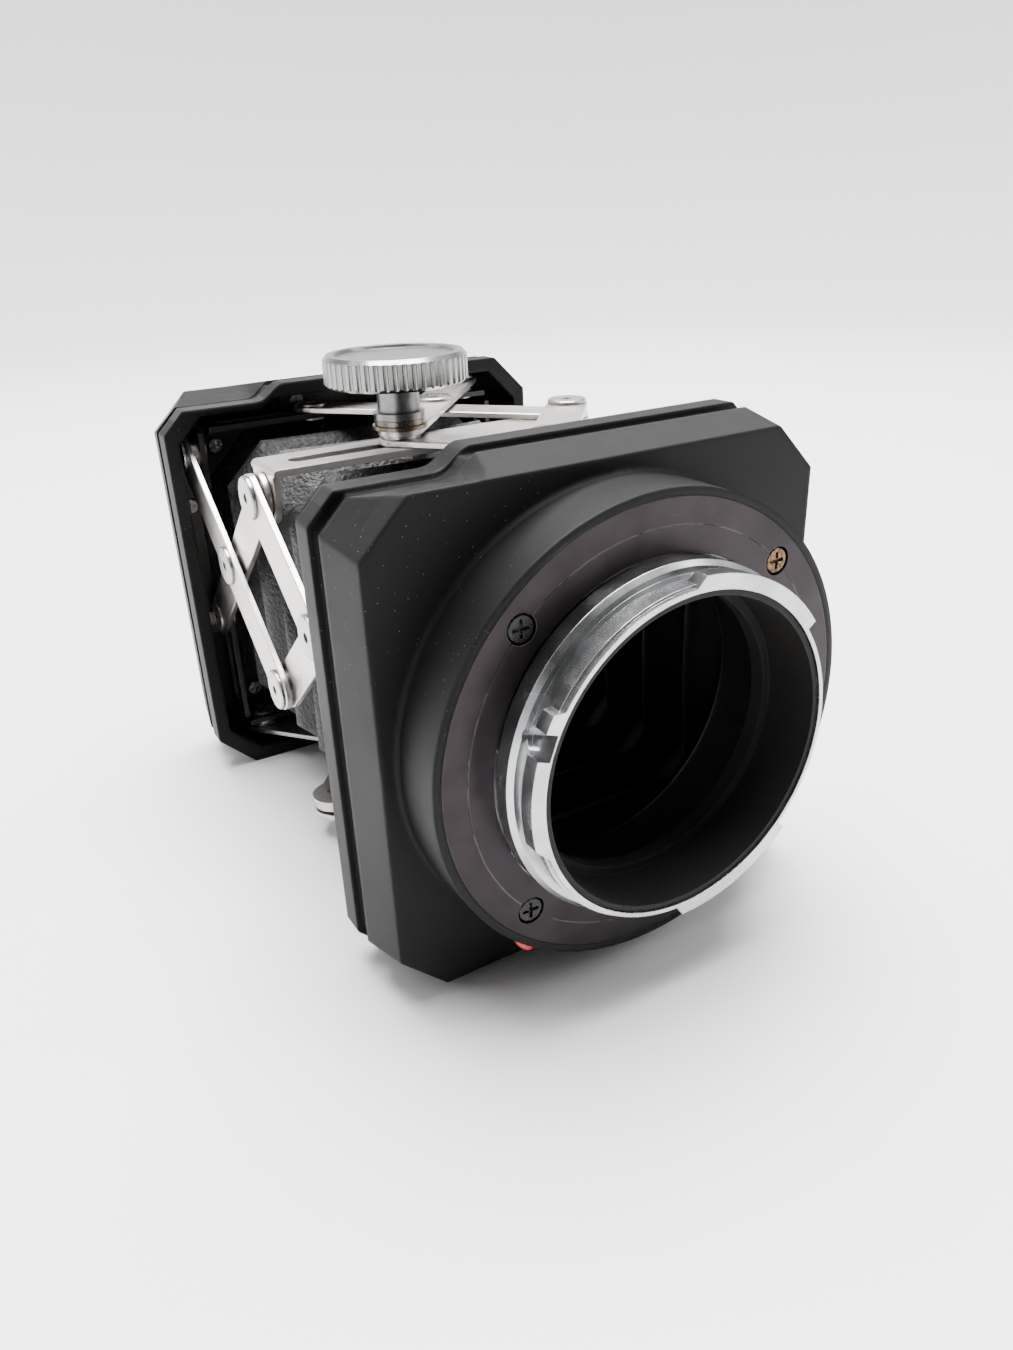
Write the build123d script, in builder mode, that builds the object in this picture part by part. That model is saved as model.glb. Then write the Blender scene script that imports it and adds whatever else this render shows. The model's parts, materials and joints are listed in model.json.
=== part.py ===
from build123d import *
import os
from math import asin, atan2, cos, degrees, hypot, radians, sin

# Macro extension bellows: two square standards, a pleated bellows and four scissor struts.
# Row frame, millimetres: X to the right, -Y towards the camera, +Y towards the lens, Z up.
# The optical axis runs along Y at half the height of the plates. Rest pose: fully extended.

# --- fits: a running fit, a press fit, the gap between stacked pieces, and what stays clear ---
running = 0.05
press = 0.02
gap = 0.05
clear = 0.1
reach_past = 0.2
skim = 0.01

# --- standards: depths are measured from a plate's flat face towards the bellows ---
plate_size = 70.0
plate_corner = 6.3
face_size = 67.0
face_corner = 6.4
bevel_size = 69.5
bevel_depth = 8.0
groove_size = 68.0
groove_end = 10.8
plate_depth = 14.5
web = 3.0
cavity_size = 65.4
cavity_corner = 5.6
edge_round = 0.6
dip_level = 32.4
dip_fade_level = 33.45
dip_roof = 31.25
dip_flat_x = -19.0
dip_end_x = -12.5
bevel_dip_step = 0.25
groove_skin = 0.5
boss_fillet = 0.5

# --- camera side: boss, flange ring, bayonet and baffle ---
boss_radius = 31.3
boss_height = 9.0
boss_bore = 25.5
flange_radius = 30.2
flange_thickness = 1.2
flange_bore = 23.5
screw_circle = 26.9
shoulder_radius = 23.4
shoulder_height = 3.2
shoulder_chamfer = 0.6
relief_radius = 22.8
relief_height = 0.3
neck_radius = 22.0
rim_radius = 21.65
rim_height = 0.7
lug_radius = 23.0
lug_thickness = 2.2
bayonet_reach = 7.3
bayonet_bore = 21.1
foot_radius = 25.3
foot_thickness = 1.2
baffle_radius = 21.05
baffle_bore = 20.3
baffle_depth = 3.0
baffle_setback = 0.35
stop_bore = 19.2
stop_thickness = 2.2
throat_radius = 22.0
# where each lug begins and ends, in degrees: at its foot, at its crest, at its crest, at its foot
lug_arcs = [(35.0, 35.2, 88.0, 92.0), (147.0, 149.5, 191.5, 198.5), (265.5, 268.5, 316.0, 316.2)]
lock_recess_angle = 158.8
lock_recess_size = (8.4, 3.2)
lock_recess_depth = 0.35
index_angle = -126.5
index_depth = 6.7
index_radius = 1.45
index_socket = 0.7
index_proud = 1.25
index_dome = 0.9
screw_head = 1.75
screw_head_height = 0.7
counterbore_radius = 1.9
counterbore_depth = 0.8
screw_shank = 0.7
screw_depth = 2.0
flange_screw_shank = 5.0
turned_line = 0.06
turned_line_depth = 0.08

# --- lens side mount ---
mount_radius = 30.5
mount_height = 2.4
mount_bore = 23.9
mount_bore_length = 1.1
mount_tab_radius = 22.2
mount_tab_thickness = 1.1
mount_tab_arcs = [(95.0, 143.0), (215.0, 263.0), (335.0, 383.0)]
mount_throat = 24.4
mount_screw_circle = 27.5
mount_chamfer = 0.4
spring_depth = 0.9
spring_thickness = 0.4
spring_band = 1.5
spring_inset = (3.0, 5.0)
release_travel = 1.8
slider_width = 4.0
slider_thickness = 1.4
slider_inner = 22.6
slider_outer = 38.0
button_inner = mount_radius + 1.5
button_width = 8.4
button_corner = 1.2
button_foot_corner = 0.8
button_foot_height = 0.3
grip_width = 0.6
grip_depth = 0.5
grip_places = (-1.6, 0.0, 1.6)
window_inner = 26.2
window_outer = 31.3
window_width = 2.0
post_place = 30.6
post_radius = 0.5
spring_radius = 0.5
spring_wire = 0.13
spring_turns = 5
lock_tip_length = 2.0
lock_tip_width = 2.6
lock_tip_corner = 0.6
lens_index_place = (-22.6, -22.6)
lens_index_radius = 1.1
lens_index_thickness = 0.25

# --- scissor struts: levels are measured outwards from the optical axis ---
pivot_depth = 8.0
half_stroke = 37.5
strut_rise = 30.7
pivot_offset = 24.3
collapsed_half_stroke = 12.0
link_width = 6.8
link_thickness = 0.9
strip_level = 27.7
strip_thickness = 1.0
inner_level = 28.8
outer_level = 30.2
pin_radius = 1.2
head_radius = 3.2
head_thickness = 0.6
collar_radius = 2.3
tail_radius = 2.0
wide_collar_radius = 2.9
pivot_collar_radius = 2.7
tail_length = 0.5
rear_head_radius = 2.6
rear_head_thickness = 0.4
pivot_foot_radius = 2.4
pivot_foot_depth = 0.3
link_chamfer = 0.15
head_chamfer = 0.2
dimple_radius = 0.75
dimple_depth = 0.4
guide_thickness = 0.9
guide_reach = 11.5
guide_foot = (-11.0, 22.0)
guide_foot_length = 4.0
guide_screw_places = [(-8.0, 30.2), (14.0, 30.2)]
guide_head = 1.3
guide_head_height = 0.5
leaf_above = 3.6
leaf_below = 3.4
slot_run = 0.6

# --- bellows and its frames ---
bellows_size = 52.2
valley_size = 45.6
bellows_corner = 7.0
bellows_skin = 0.8
pleats = 8
frame_size = 54.0
frame_thickness = 1.2
frame_corner = 2.5
frame_screw_offset = 24.2
frame_screw_depth = 1.2
frame_head = 1.4
frame_head_height = 0.7
pleat_edge = 0.4

# --- clamp knob and mid brackets ---
knob_radius = 10.75
knob_thickness = 4.5
knob_level = 37.7
knob_teeth = 50
knurl_radius = 0.4
stem_radius = 3.2
stem_foot_radius = 3.9
stem_foot_height = 1.0
knob_chamfer = 0.6
knob_lower_chamfer = 0.5
knurl_offset = 0.12
knob_lip = 1.7
knob_dish = 0.5
dish_taper = 25
stud_in_knob = 2.4
nut_size = 3.6
nut_thickness = 0.9
strip_width = 10.0
strip_end_radius = 3.6
strip_taper = 4.0
tab_width = 8.6
slot_width = 3.0
stud_radius = 1.4
slot_end_inner = 2.2
bend_radius = 0.8
washer_radius = 4.2
upper_washer_radius = 3.85
washer_thickness = 0.55
upper_washer_thickness = 0.8

# --- places along Y, and strut geometry ---
axis_height = plate_size / 2
face_distance = 2 * (pivot_depth + half_stroke)
overall_length = boss_height + bayonet_reach + face_distance + mount_height
camera_face = boss_height + bayonet_reach - overall_length / 2
lens_face = camera_face + face_distance
middle = camera_face + pivot_depth + half_stroke
camera_pivot = camera_face + pivot_depth
lens_pivot = lens_face - pivot_depth
flange_seat = camera_face - boss_height
lens_seat = lens_face + mount_height
link_pitch = hypot(half_stroke, strut_rise)
collapsed_rise = link_pitch * cos(asin(collapsed_half_stroke / link_pitch))
low_offset = pivot_offset - strut_rise
lowest_offset = pivot_offset - collapsed_rise
outer_face = outer_level + link_thickness
inner_face = inner_level + link_thickness
guide_level = strip_level + clear
plate_edge = plate_size / 2 + clear

os.makedirs("parts", exist_ok=True)


# A plane across the optical axis, seen from the camera: local x is X and local y is Z.
def across(y):
    return Plane(origin=(0, y, axis_height), x_dir=(1, 0, 0), z_dir=(0, -1, 0))


# The four sides of the square. Local x runs from a strut's sliding ends to its fixed pivots,
# local y is Y, and the normal points outwards from the optical axis.
sides = {
    "left": Plane(origin=(0, 0, axis_height), x_dir=(0, 0, 1), z_dir=(-1, 0, 0)),
    "top": Plane(origin=(0, 0, axis_height), x_dir=(1, 0, 0), z_dir=(0, 0, 1)),
    "right": Plane(origin=(0, 0, axis_height), x_dir=(0, 0, -1), z_dir=(1, 0, 0)),
    "bottom": Plane(origin=(0, 0, axis_height), x_dir=(-1, 0, 0), z_dir=(0, 0, -1)),
}
mirror_plane = Plane(origin=(0, middle, 0), z_dir=(0, 1, 0))


def save(piece, name):
    piece.part.label = name
    export_step(piece.part, f"parts/{name}.step")


def octagon(size, corner, rounding):
    """A square with 45 degree corners, its eight points slightly rounded."""
    with BuildSketch() as outline:
        Rectangle(size, size)
        chamfer(outline.vertices(), length=corner)
        fillet(outline.vertices(), radius=rounding)
    return outline.sketch


def dip_outline(level):
    """What the dip takes off the top left of an outline: flat, then an S up to the edge."""
    above = plate_size
    half_way = (dip_flat_x + dip_end_x) / 2
    with BuildSketch() as outline:
        with BuildLine():
            Line((-plate_size, level), (dip_flat_x, level))
            Bezier(
                (dip_flat_x, level),
                (half_way, level),
                (half_way, plate_edge),
                (dip_end_x, plate_edge),
            )
            Polyline(
                (dip_end_x, plate_edge),
                (dip_end_x, above),
                (-plate_size, above),
                (-plate_size, level),
            )
        make_face()
    return outline.sketch


def turned(plane, at, steps, dimple=False):
    """A round piece standing on a plane: each step is (from level, to level, radius)."""
    top_level, top_radius = steps[-1][1:]

    def is_top_rim(edge):
        level = (edge.center() - plane.origin).dot(plane.z_dir)
        return abs(level - top_level) < 1e-4 and abs(edge.radius - top_radius) < 1e-4

    with BuildPart() as piece:
        for low, high, radius in steps:
            with BuildSketch(plane.offset(low)):
                with Locations(at):
                    Circle(radius)
            extrude(amount=high - low)
        if dimple:
            rims = piece.edges().filter_by(GeomType.CIRCLE)
            chamfer(rims.filter_by(is_top_rim), length=head_chamfer)
            with BuildSketch(plane.offset(top_level)):
                with Locations(at):
                    Circle(dimple_radius)
            extrude(amount=-dimple_depth, mode=Mode.SUBTRACT)
    return piece.part


def cross_screw(plane, at, head, shank, head_height, shank_length):
    """A cross-head screw whose head stands on the plane and whose shank goes below it."""
    rim = 0.3 * head_height
    arm_length = 1.3 * head
    arm_width = 0.26 * head
    recess_depth = 0.6 * head_height
    with BuildPart() as screw:
        with BuildSketch(plane):
            with Locations(at):
                Circle(head)
        extrude(amount=head_height)
        chamfer(screw.edges().filter_by(GeomType.CIRCLE), length=rim)
        with BuildSketch(plane):
            with Locations(at):
                Circle(shank)
        extrude(amount=-shank_length)
        with BuildSketch(plane.offset(head_height)):
            with Locations(at):
                Rectangle(arm_length, arm_width)
                Rectangle(arm_width, arm_length)
        extrude(amount=-recess_depth, mode=Mode.SUBTRACT)
    return screw.part


def polar(radius, angle):
    """A point at a radius and an angle in degrees."""
    return (radius * cos(radians(angle)), radius * sin(radians(angle)))


def sector(foot_from, crest_from, crest_to, foot_to, foot_radius, crest_radius):
    """Covers a lug's angles, in degrees; its ends slope from their foot up to their crest."""
    chords = 6
    span = (crest_to - crest_from) / chords
    with BuildSketch() as cover:
        with BuildLine():
            Polyline(
                polar(foot_radius, foot_from),
                polar(crest_radius, crest_from),
                *[polar(2 * crest_radius, crest_from + span * k) for k in range(chords + 1)],
                polar(crest_radius, crest_to),
                polar(foot_radius, foot_to),
                (0, 0),
                close=True,
            )
        make_face()
    return cover.sketch


# ---------------------------------------------------------------- camera standard
face_outline = octagon(face_size, face_corner, edge_round)
bevel_outline = octagon(bevel_size, plate_corner, edge_round)
groove_outline = octagon(groove_size, plate_corner, edge_round)
rim_outline = octagon(plate_size, plate_corner, edge_round)
cavity_outline = octagon(cavity_size, cavity_corner, edge_round)
frame_outline = octagon(frame_size, frame_corner, edge_round)
dips = {
    "rim": dip_outline(dip_level),
    "groove": dip_outline(dip_roof + groove_skin),
    "bevel": dip_outline(dip_level - bevel_dip_step),
    "fade": dip_outline(dip_fade_level),
    "cavity": dip_outline(dip_roof),
}

# The hollow of the tray, which is shallower under the dip so that the dip keeps its skin.
with BuildPart() as tray_hollow:
    with BuildSketch(across(camera_face + web)):
        add(cavity_outline)
    extrude(amount=-plate_depth)
    with BuildSketch(across(camera_face + web)):
        add(dips["cavity"])
    extrude(amount=-plate_depth, mode=Mode.SUBTRACT)

# The tray that both standards share: bevel, groove and rim, with the dip for the knob's stem.
with BuildPart() as tray:
    with BuildSketch(across(camera_face)):
        add(face_outline)
    with BuildSketch(across(camera_face + bevel_depth)):
        add(bevel_outline)
    loft()
    with BuildSketch(across(camera_face + bevel_depth)):
        add(groove_outline)
    extrude(amount=bevel_depth - groove_end)
    with BuildSketch(across(camera_face + groove_end)):
        add(rim_outline)
    extrude(amount=groove_end - plate_depth)
    with BuildSketch(across(camera_face - skim)):
        add(dips["fade"])
    with BuildSketch(across(camera_face + bevel_depth)):
        add(dips["bevel"])
    loft(mode=Mode.SUBTRACT)
    with BuildSketch(across(camera_face + bevel_depth)):
        add(dips["groove"])
    extrude(amount=bevel_depth - groove_end, mode=Mode.SUBTRACT)
    with BuildSketch(across(camera_face + groove_end)):
        add(dips["rim"])
    extrude(amount=groove_end - plate_depth, mode=Mode.SUBTRACT)
    add(tray_hollow.part, mode=Mode.SUBTRACT)

frame_screw_places = [
    (frame_screw_offset, frame_screw_offset),
    (-frame_screw_offset, frame_screw_offset),
    (-frame_screw_offset, -frame_screw_offset),
    (frame_screw_offset, -frame_screw_offset),
]
index_plane = Plane(
    origin=(0, camera_face - index_depth, axis_height),
    x_dir=(0, 1, 0),
    z_dir=(cos(radians(index_angle)), 0, sin(radians(index_angle))),
)


def guide_screw_points():
    """Where the eight guide screws stand, as points of a plane across the axis."""
    points = []
    for along, out in guide_screw_places:
        points += [(-out, along), (along, out), (out, -along), (-along, -out)]
    return points


with BuildPart() as camera_shell:
    add(tray.part)
    with BuildSketch(across(camera_face)):
        Circle(boss_radius)
    extrude(amount=boss_height)
    fillet(
        camera_shell.edges()
        .filter_by(GeomType.CIRCLE)
        .filter_by(lambda e: abs(e.radius - boss_radius) < 1e-3)
        .filter_by(lambda e: abs(e.center().Y - camera_face) < 1e-3),
        radius=boss_fillet,
    )
    # seat for the flange ring, then the bore for the bayonet's foot and the throat
    with BuildSketch(across(flange_seat)):
        Circle(flange_radius + running)
    extrude(amount=-flange_thickness, mode=Mode.SUBTRACT)
    with BuildSketch(across(flange_seat + flange_thickness)):
        Circle(boss_bore)
    extrude(amount=-foot_thickness, mode=Mode.SUBTRACT)
    with BuildSketch(across(flange_seat)):
        Circle(throat_radius)
    extrude(amount=-(boss_height + web), mode=Mode.SUBTRACT)
    # screw holes of the flange ring, of the bellows frame and of the guides
    with BuildSketch(across(flange_seat)):
        with PolarLocations(screw_circle, 4, start_angle=45):
            Circle(screw_shank + gap)
    extrude(amount=-(flange_thickness + flange_screw_shank + reach_past), mode=Mode.SUBTRACT)
    with BuildSketch(across(camera_face + web)):
        with Locations(*frame_screw_places, *guide_screw_points()):
            Circle(screw_shank + gap)
    extrude(amount=frame_screw_depth + clear, mode=Mode.SUBTRACT)
    # socket of the index bead, low on the left of the boss
    with BuildSketch(index_plane.offset(boss_radius - index_socket)):
        Circle(index_radius + gap)
    extrude(amount=2 * index_socket, mode=Mode.SUBTRACT)
save(camera_shell, "camera_shell")

# anodised ring with a turned line and four counterbored screw holes
with BuildPart() as camera_flange_ring:
    with BuildSketch(across(flange_seat + flange_thickness)):
        Circle(flange_radius)
        Circle(flange_bore, mode=Mode.SUBTRACT)
    extrude(amount=flange_thickness)
    with BuildSketch(across(flange_seat)):
        Circle(screw_circle + turned_line)
        Circle(screw_circle - turned_line, mode=Mode.SUBTRACT)
    extrude(amount=-turned_line_depth, mode=Mode.SUBTRACT)
    with BuildSketch(across(flange_seat)):
        with PolarLocations(screw_circle, 4, start_angle=45):
            Circle(counterbore_radius)
    extrude(amount=-counterbore_depth, mode=Mode.SUBTRACT)
    with BuildSketch(across(flange_seat)):
        with PolarLocations(screw_circle, 4, start_angle=45):
            Circle(screw_shank + gap)
    extrude(amount=-flange_thickness, mode=Mode.SUBTRACT)
save(camera_flange_ring, "camera_flange_ring")

flange_screws = [
    cross_screw(
        across(flange_seat + counterbore_depth),
        polar(screw_circle, angle),
        screw_head,
        screw_shank,
        screw_head_height,
        flange_screw_shank,
    )
    for angle in (45, 135, 225, 315)
]
with BuildPart() as camera_flange_screws:
    add(flange_screws)
save(camera_flange_screws, "camera_flange_screws")

# male bayonet: foot under the flange ring, shoulder, neck, three lugs and the lock recess
lug_root = rim_radius - reach_past
recess_plane = Plane(
    origin=(0, flange_seat - bayonet_reach, axis_height),
    x_dir=(0, 1, 0),
    z_dir=(cos(radians(lock_recess_angle)), 0, sin(radians(lock_recess_angle))),
)
with BuildPart() as camera_bayonet:
    with BuildSketch(across(flange_seat + flange_thickness + foot_thickness)):
        Circle(foot_radius)
    extrude(amount=foot_thickness - gap)
    with BuildSketch(across(flange_seat + flange_thickness + foot_thickness)):
        Circle(relief_radius)
    extrude(amount=foot_thickness + flange_thickness + relief_height)
    with BuildSketch(across(flange_seat - relief_height)):
        Circle(shoulder_radius)
    extrude(amount=shoulder_height - relief_height)
    chamfer(
        camera_bayonet.edges()
        .filter_by(GeomType.CIRCLE)
        .filter_by(lambda e: abs(e.radius - shoulder_radius) < 1e-3)
        .sort_by(Axis.Y)[0],
        length=shoulder_chamfer,
    )
    with BuildSketch(across(flange_seat - shoulder_height)):
        Circle(neck_radius)
    extrude(amount=bayonet_reach - shoulder_height - rim_height)
    with BuildSketch(across(flange_seat - bayonet_reach + rim_height)):
        Circle(rim_radius)
    extrude(amount=rim_height)
    for arc in lug_arcs:
        with BuildSketch(across(flange_seat - bayonet_reach + lug_thickness)):
            Circle(lug_radius)
            Circle(lug_root, mode=Mode.SUBTRACT)
            add(sector(*arc, lug_root, lug_radius), mode=Mode.INTERSECT)
        extrude(amount=lug_thickness)
    with BuildSketch(across(flange_seat)):
        Circle(bayonet_bore)
    extrude(amount=plate_depth, both=True, mode=Mode.SUBTRACT)
    with BuildSketch(recess_plane.offset(rim_radius - lock_recess_depth)):
        SlotOverall(*lock_recess_size)
    extrude(amount=lug_radius, mode=Mode.SUBTRACT)
save(camera_bayonet, "camera_bayonet")

# matt tube inside the bayonet, with one stepped ring
with BuildPart() as camera_baffle:
    with BuildSketch(across(flange_seat + baffle_depth)):
        Circle(baffle_radius)
    extrude(amount=bayonet_reach + baffle_depth - baffle_setback)
    with BuildSketch(across(flange_seat + baffle_depth)):
        Circle(baffle_bore)
    extrude(amount=bayonet_reach + baffle_depth, mode=Mode.SUBTRACT)
    with BuildSketch(across(flange_seat + baffle_depth)):
        Circle(baffle_radius)
        Circle(stop_bore, mode=Mode.SUBTRACT)
    extrude(amount=stop_thickness)
save(camera_baffle, "camera_baffle")

with BuildPart() as camera_index_dot:
    with BuildSketch(index_plane.offset(boss_radius - index_socket + press)):
        Circle(index_radius)
    extrude(amount=index_socket - press + index_proud)
    fillet(
        camera_index_dot.edges()
        .filter_by(GeomType.CIRCLE)
        .sort_by(lambda e: (e.center() - index_plane.origin).dot(index_plane.z_dir))[-1],
        radius=index_dome,
    )
save(camera_index_dot, "camera_index_dot")


# Frame that clamps the end of the bellows to the web of a standard.
with BuildPart() as frame:
    with BuildSketch(across(camera_face + web + frame_thickness)):
        add(frame_outline)
        Circle(mount_throat, mode=Mode.SUBTRACT)
    extrude(amount=frame_thickness)
    with BuildSketch(across(camera_face + web + frame_thickness)):
        with Locations(*frame_screw_places):
            Circle(screw_shank + gap)
    extrude(amount=frame_thickness, mode=Mode.SUBTRACT)

rear_of_frame = across(camera_face + web + frame_thickness)
inward = Plane(origin=rear_of_frame.origin, x_dir=(1, 0, 0), z_dir=(0, 1, 0))
frame_screws = [
    cross_screw(
        inward,
        (x, -z),
        frame_head,
        screw_shank,
        frame_head_height,
        frame_thickness + frame_screw_depth,
    )
    for x, z in frame_screw_places
]


# Guide on one side of a standard: a leaf with the pivot hole and the slot, and a foot on the web.
slot_top = low_offset + slot_run
slot_bottom = lowest_offset - slot_run


leaf_top = pivot_offset + leaf_above
leaf_bottom = slot_bottom - leaf_below
leaf_middle = (leaf_top + leaf_bottom) / 2
leaf_depth = guide_reach - web
foot_middle = (guide_foot[0] + guide_foot[1]) / 2
foot_length = guide_foot[1] - guide_foot[0]


def guide(side):
    """The guide of one side of the camera standard."""
    with BuildPart() as piece:
        with BuildSketch(side.offset(guide_level)):
            with Locations((leaf_middle, camera_face + web + leaf_depth / 2)):
                Rectangle(leaf_top - leaf_bottom, leaf_depth)
            with Locations((leaf_middle, camera_face + web)):
                Rectangle(leaf_top - leaf_bottom, 2 * (frame_thickness + clear), mode=Mode.SUBTRACT)
            with Locations((foot_middle, camera_face + web + (frame_thickness + clear) / 2)):
                Rectangle(foot_length, frame_thickness + clear)
        extrude(amount=guide_thickness)
        with BuildSketch(side.offset(guide_level + guide_thickness / 2)):
            with Locations((foot_middle, camera_face + web + guide_thickness / 2)):
                Rectangle(foot_length, guide_thickness)
        extrude(amount=guide_foot_length)
        with BuildSketch(side.offset(strip_level)):
            with Locations((pivot_offset, camera_pivot)):
                Circle(pin_radius + press)
            with Locations(((slot_top + slot_bottom) / 2, camera_pivot)):
                SlotCenterToCenter(slot_top - slot_bottom, 2 * (pin_radius + clear))
        extrude(amount=guide_level + guide_thickness + clear - strip_level, mode=Mode.SUBTRACT)
        holes = Plane(origin=(0, camera_face + web, axis_height), x_dir=side.x_dir, z_dir=(0, 1, 0))
        flip = 1 if holes.y_dir.dot(side.z_dir) > 0 else -1
        with BuildSketch(holes):
            with Locations(*[(along, flip * out) for along, out in guide_screw_places]):
                Circle(screw_shank + gap)
        extrude(amount=screw_depth, mode=Mode.SUBTRACT)
    return piece.part


guides = [guide(side) for side in sides.values()]
foot_top = Plane(
    origin=(0, camera_face + web + guide_thickness, axis_height), x_dir=(1, 0, 0), z_dir=(0, 1, 0)
)
guide_screws = [
    cross_screw(
        foot_top,
        (x, -z),
        guide_head,
        screw_shank,
        guide_head_height,
        guide_thickness + frame_screw_depth,
    )
    for x, z in guide_screw_points()
]

with BuildPart() as camera_bellows_frame:
    add(frame.part)
save(camera_bellows_frame, "camera_bellows_frame")
with BuildPart() as camera_frame_screws:
    add(frame_screws)
save(camera_frame_screws, "camera_frame_screws")
with BuildPart() as camera_guides:
    add(guides)
save(camera_guides, "camera_guides")
with BuildPart() as camera_guide_screws:
    add(guide_screws)
save(camera_guide_screws, "camera_guide_screws")

# ---------------------------------------------------------------- lens standard
release_direction = (cos(radians(-45)), 0, sin(radians(-45)))


def slider_plane(y):
    """Local x runs outwards along the release's diagonal, the normal is +Y."""
    return Plane(origin=(0, y, axis_height), x_dir=release_direction, z_dir=(0, 1, 0))


channel_end = slider_outer + release_travel + reach_past
slider_level = lens_face - clear
with BuildPart() as lens_shell:
    add(tray.part.mirror(mirror_plane))
    with BuildSketch(across(lens_face)):
        Circle(mount_throat)
    extrude(amount=plate_depth, both=True, mode=Mode.SUBTRACT)
    with BuildSketch(across(lens_face)):
        with PolarLocations(mount_screw_circle, 4):
            Circle(screw_shank + gap)
    extrude(amount=screw_depth + reach_past, mode=Mode.SUBTRACT)
    with BuildSketch(across(lens_face - web)):
        with Locations(*frame_screw_places, *guide_screw_points()):
            Circle(screw_shank + gap)
    extrude(amount=-(frame_screw_depth + clear), mode=Mode.SUBTRACT)
    # channel of the lens release, on the lower right diagonal
    with BuildSketch(slider_plane(lens_face)):
        with Locations(((slider_inner + channel_end) / 2, 0)):
            Rectangle(channel_end - slider_inner, slider_width + 2 * clear)
    extrude(amount=-(slider_thickness + 2 * clear), mode=Mode.SUBTRACT)
    # post in the channel that the release spring bears on
    with BuildSketch(slider_plane(lens_face - slider_thickness - 2 * clear)):
        with Locations((post_place, 0)):
            Circle(post_radius)
    extrude(amount=slider_thickness + clear)
save(lens_shell, "lens_shell")

# chromed ring with the female bayonet: a seat, a bore and three inward tabs
with BuildPart() as lens_mount:
    with BuildSketch(across(lens_face)):
        Circle(mount_radius)
    extrude(amount=-mount_height)
    chamfer(
        lens_mount.edges().filter_by(GeomType.CIRCLE).sort_by(Axis.Y)[-1],
        length=mount_chamfer,
    )
    with BuildSketch(across(lens_seat)):
        Circle(mount_bore)
    extrude(amount=mount_height, mode=Mode.SUBTRACT)
    with BuildSketch(across(lens_seat - mount_bore_length)):
        Circle(mount_throat)
    extrude(amount=mount_height, mode=Mode.SUBTRACT)
    for start, end in mount_tab_arcs:
        with BuildSketch(across(lens_face)):
            Circle(mount_throat + reach_past)
            Circle(mount_tab_radius, mode=Mode.SUBTRACT)
            add(sector(start, start, end, end, mount_tab_radius, lug_radius), mode=Mode.INTERSECT)
        extrude(amount=-mount_tab_thickness)
    with BuildSketch(across(lens_seat)):
        with PolarLocations(mount_screw_circle, 4):
            Circle(counterbore_radius)
    extrude(amount=counterbore_depth, mode=Mode.SUBTRACT)
    with BuildSketch(across(lens_seat)):
        with PolarLocations(mount_screw_circle, 4):
            Circle(screw_shank + gap)
    extrude(amount=mount_height, mode=Mode.SUBTRACT)
save(lens_mount, "lens_mount")

lens_head_plane = Plane(
    origin=(0, lens_seat - counterbore_depth, axis_height), x_dir=(1, 0, 0), z_dir=(0, 1, 0)
)
mount_screws = [
    cross_screw(
        lens_head_plane,
        polar(mount_screw_circle, angle),
        screw_head,
        screw_shank,
        screw_head_height,
        mount_height - counterbore_depth + screw_depth,
    )
    for angle in (0, 90, 180, 270)
]
with BuildPart() as lens_mount_screws:
    add(mount_screws)
save(lens_mount_screws, "lens_mount_screws")

# three leaf springs behind the tabs, which draw a lens onto its seat
with BuildPart() as lens_mount_springs:
    for start, end in mount_tab_arcs:
        spring = (start + spring_inset[0], end - spring_inset[1])
        with BuildSketch(across(lens_face - spring_depth)):
            Circle(mount_throat - clear)
            Circle(mount_throat - clear - spring_band, mode=Mode.SUBTRACT)
            add(sector(spring[0], *spring, spring[1], mount_tab_radius, lug_radius), mode=Mode.INTERSECT)
        extrude(amount=spring_thickness)
save(lens_mount_springs, "lens_mount_springs")

# release: a slider in its channel with the grooved button outside and the lock tip inside
button_middle = (button_inner + slider_outer) / 2
slider_start = slider_inner + lock_tip_length
with BuildPart() as lens_release:
    with BuildSketch(slider_plane(slider_level)):
        with Locations(((slider_start + slider_outer) / 2, 0)):
            Rectangle(slider_outer - slider_start, slider_width)
        with Locations(((window_inner + window_outer) / 2, 0)):
            Rectangle(window_outer - window_inner, window_width, mode=Mode.SUBTRACT)
    extrude(amount=-slider_thickness)
    with BuildSketch(slider_plane(slider_level)):
        with Locations((button_middle, 0)):
            RectangleRounded(slider_outer - button_inner, slider_width - 4 * clear, button_foot_corner)
    extrude(amount=button_foot_height)
    with BuildSketch(slider_plane(slider_level + button_foot_height - gap)):
        with Locations((button_middle, 0)):
            RectangleRounded(slider_outer - button_inner, button_width, button_corner)
    extrude(amount=mount_height - button_foot_height - gap)
    with BuildSketch(slider_plane(lens_seat - reach_past)):
        with Locations(*[(button_middle + step, 0) for step in grip_places]):
            Rectangle(grip_width, button_width + 2 * clear)
    extrude(amount=-grip_depth, mode=Mode.SUBTRACT)
save(lens_release, "lens_release")

# coil spring in the slider's window, between its inner edge and the post
spring_length = post_place - post_radius - window_inner - 2 * (spring_wire + press)
spring_start = window_inner + spring_wire + press
with BuildPart() as lens_release_spring:
    with BuildLine() as coil:
        Helix(
            pitch=spring_length / spring_turns,
            height=spring_length,
            radius=spring_radius,
            center=(
                spring_start * release_direction[0],
                slider_level - slider_thickness / 2,
                axis_height + spring_start * release_direction[2],
            ),
            direction=release_direction,
        )
    with BuildSketch(Plane(origin=coil.line @ 0, z_dir=coil.line % 0)):
        Circle(spring_wire)
    sweep()
save(lens_release_spring, "lens_release_spring")

with BuildPart() as lens_lock_pin:
    with BuildSketch(slider_plane(slider_level - slider_thickness)):
        with Locations((slider_inner + lock_tip_length / 2, 0)):
            RectangleRounded(lock_tip_length, lock_tip_width, lock_tip_corner)
    extrude(amount=slider_thickness)
save(lens_lock_pin, "lens_lock_pin")

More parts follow.
